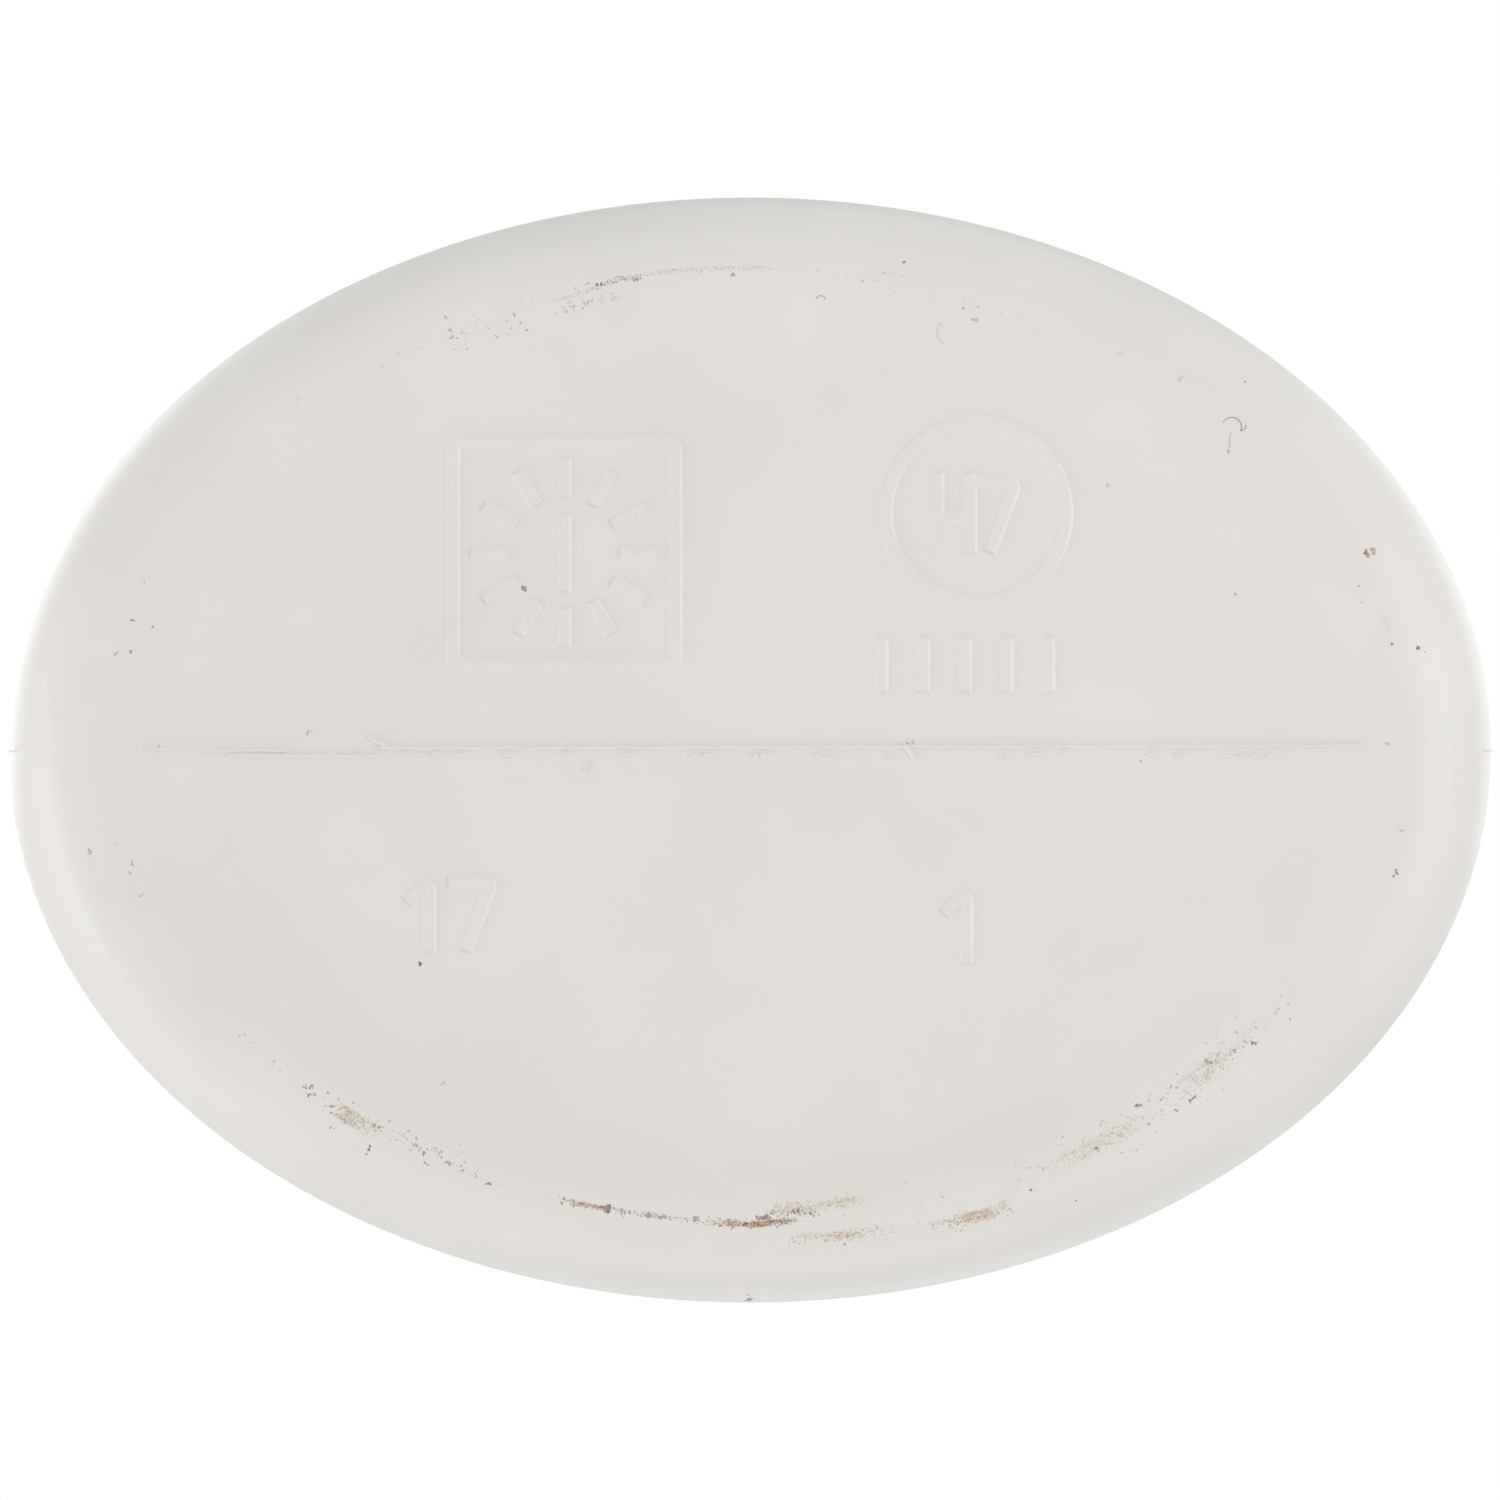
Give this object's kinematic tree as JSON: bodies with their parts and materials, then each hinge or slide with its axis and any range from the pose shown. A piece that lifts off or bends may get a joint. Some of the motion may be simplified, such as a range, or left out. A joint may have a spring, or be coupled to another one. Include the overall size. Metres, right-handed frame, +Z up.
{
  "type": "bubble bath bottle",
  "caption": "Upright oval blow-moulded plastic bottle with a recessed base, round threaded neck and ribbed screw cap.",
  "frame": {"origin": "middle of the oval standing ring, on the surface the bottle stands on", "axes": "+Z up through the neck, X along the oval's long side, Y along its short side; the wide front faces -Y"},
  "size_m": [0.094, 0.07, 0.1968],
  "materials": {
    "bottle_plastic": "satin blow-moulded polyethylene, lightly soiled at the standing ring",
    "liner_foam": "fine closed-cell foam",
    "cap_plastic": "satin injection-moulded polypropylene"
  },
  "bodies": {
    "bottle": {"bottle": "bottle_plastic"},
    "liner": {"cap_liner": "liner_foam"},
    "cap": {"screw_cap": "cap_plastic"}
  },
  "joints": [
    {"name": "cap_lift", "type": "slide", "parent": "bottle", "child": "liner", "axis": [0, 0, 1], "range_m": [0, 0.0075]},
    {"name": "cap_turn", "type": "hinge", "parent": "liner", "child": "cap", "pos_m": [0, 0, 0.185], "axis": [0, 0, 1], "range_deg": [0, 630]}
  ],
  "couplings": [
    {"joint": "cap_lift", "follows": "cap_turn", "m_per_rad": 0.00067322}
  ]
}
